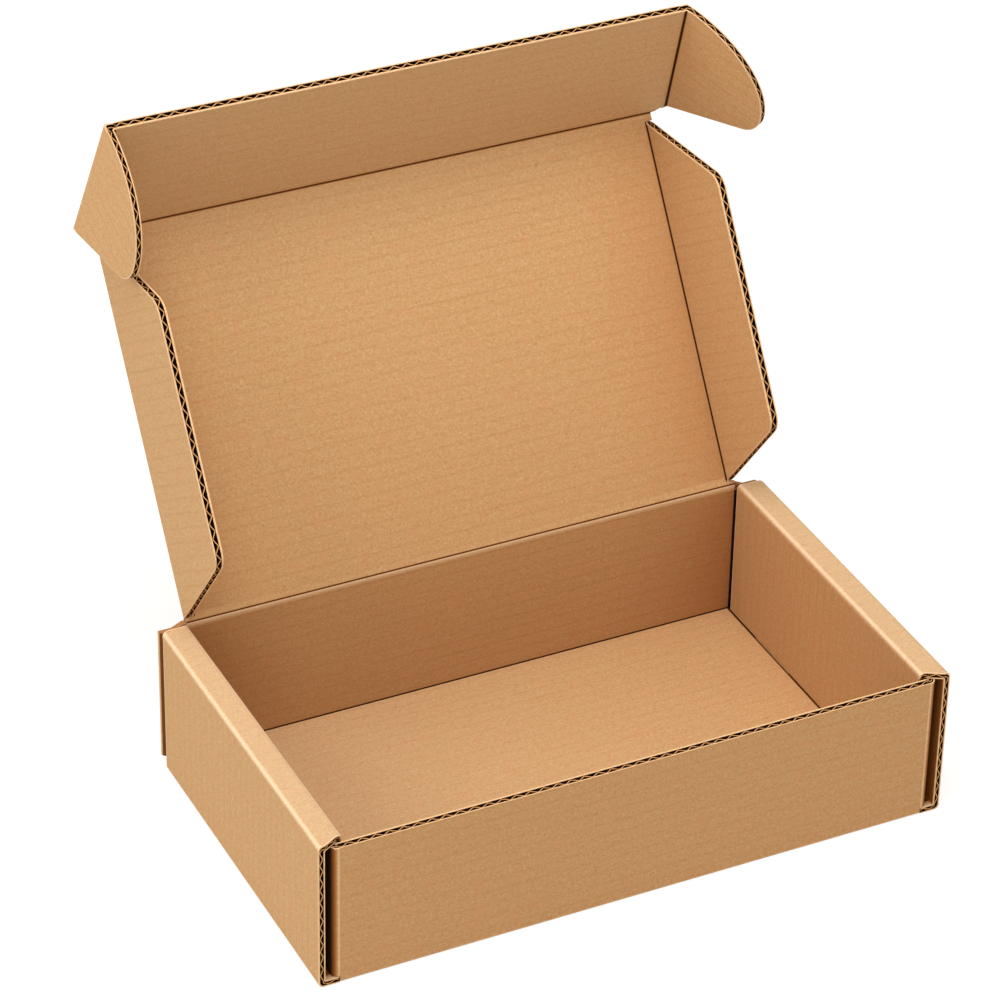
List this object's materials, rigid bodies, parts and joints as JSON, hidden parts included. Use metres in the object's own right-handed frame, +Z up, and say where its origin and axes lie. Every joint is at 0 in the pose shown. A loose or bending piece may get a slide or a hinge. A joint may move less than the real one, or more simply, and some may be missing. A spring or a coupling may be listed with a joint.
{
  "type": "corrugated mailing box",
  "caption": "Open corrugated mailing box folded from a sheet of kraft board, with rolled end walls, a hinged lid with side wings, and a tuck flap with rounded ears.",
  "frame": {"origin": "centre of the tray's bottom, on its underside", "axes": "+X to the right along the box's length, +Y to the back wall that carries the lid, +Z up"},
  "size_m": [0.3172, 0.2721, 0.2865],
  "materials": {
    "kraft_board": "matte"
  },
  "bodies": {
    "tray": {"tray": "kraft_board"},
    "lid": {"lid": "kraft_board"},
    "lid_wing_left": {"lid_wing_left": "kraft_board"},
    "lid_wing_right": {"lid_wing_right": "kraft_board"},
    "tuck_flap": {"tuck_flap": "kraft_board"},
    "tuck_ear_left": {"tuck_ear_left": "kraft_board"},
    "tuck_ear_right": {"tuck_ear_right": "kraft_board"}
  },
  "joints": [
    {"name": "lid_hinge", "type": "hinge", "parent": "tray", "child": "lid", "pos_m": [0, 0.0865, 0.0724], "axis": [-1, 0, 0], "range_deg": [-98, 57]},
    {"name": "left_wing_fold", "type": "hinge", "parent": "lid", "child": "lid_wing_left", "pos_m": [-0.1354, 0.0865, 0.0724], "axis": [0, -0.5446, -0.8387], "range_deg": [-5, 90]},
    {"name": "right_wing_fold", "type": "hinge", "parent": "lid", "child": "lid_wing_right", "pos_m": [0.1354, 0.0865, 0.0724], "axis": [0, 0.5446, 0.8387], "range_deg": [-5, 90]},
    {"name": "tuck_fold", "type": "hinge", "parent": "lid", "child": "tuck_flap", "pos_m": [0, 0.18263, 0.22043], "axis": [1, 0, 0], "range_deg": [-56, 39]},
    {"name": "left_ear_fold", "type": "hinge", "parent": "tuck_flap", "child": "tuck_ear_left", "pos_m": [-0.1453, 0.18263, 0.22043], "axis": [0.0872, -0.3892, 0.917], "range_deg": [-92, 3]},
    {"name": "right_ear_fold", "type": "hinge", "parent": "tuck_flap", "child": "tuck_ear_right", "pos_m": [0.1453, 0.18263, 0.22043], "axis": [0.0872, 0.3892, -0.917], "range_deg": [-62, 33]}
  ]
}
